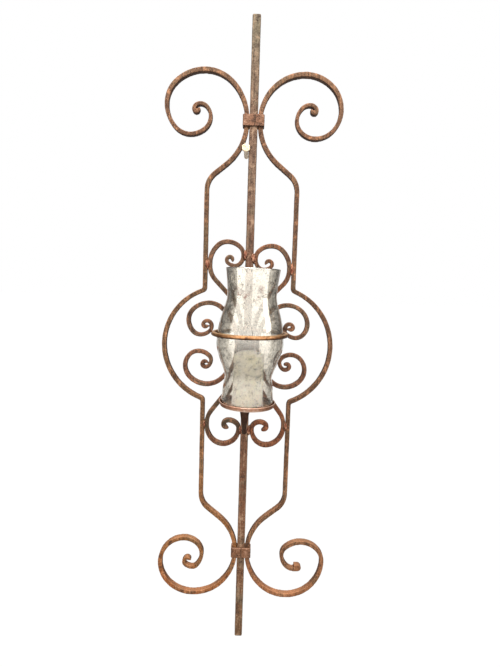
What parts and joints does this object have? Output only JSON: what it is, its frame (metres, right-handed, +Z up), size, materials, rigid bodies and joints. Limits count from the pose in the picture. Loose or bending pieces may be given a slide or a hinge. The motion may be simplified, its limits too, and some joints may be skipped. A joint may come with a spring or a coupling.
{
  "type": "torch sconce",
  "caption": "Tall forged-iron wall torch sconce with scrolled grille, a round candle plate on a bracket, a pillar candle, a steadying ring and a hurricane glass.",
  "frame": {"origin": "centre of the back of the upper collar, where the sconce lies against the wall", "axes": "+X to the right seen from the front, +Y into the wall, +Z up along the centre bar"},
  "size_m": [0.35, 0.209, 1.25],
  "materials": {
    "bar_iron": "matte, rusted",
    "frame_iron": "matte, rusted",
    "scroll_iron": "matte, rusted",
    "collar_iron": "matte, hammered and rusted",
    "ring_iron": "satin, worn and rusted",
    "plate_iron": "satin, worn and rusted",
    "arm_iron": "matte, rusted",
    "screw_steel": "zinc plated",
    "glass": "clear, mottled with soot and age",
    "wax": "satin wax",
    "wick": "charred cotton"
  },
  "bodies": {
    "sconce": {"centre_bar": "bar_iron", "left_frame_bar": "frame_iron", "right_frame_bar": "frame_iron", "upper_collar": "collar_iron", "lower_collar": "collar_iron", "left_heart_scroll": "scroll_iron", "right_heart_scroll": "scroll_iron", "left_ear_scroll": "scroll_iron", "right_ear_scroll": "scroll_iron", "glass_ring": "ring_iron", "candle_plate": "plate_iron", "plate_arm": "arm_iron", "plate_rivet": "arm_iron", "wall_screw": "screw_steel"},
    "glass": {"hurricane_glass": "glass"},
    "pillar_candle": {"candle": "wax", "wick": "wick"}
  },
  "joints": [
    {"name": "glass_lift", "type": "slide", "parent": "sconce", "child": "glass", "axis": [0.0175, 0, 0.9998], "range_m": [0, 0.27]},
    {"name": "candle_lift", "type": "slide", "parent": "sconce", "child": "pillar_candle", "axis": [0.0175, 0, 0.9998], "range_m": [0, 0.27]}
  ]
}
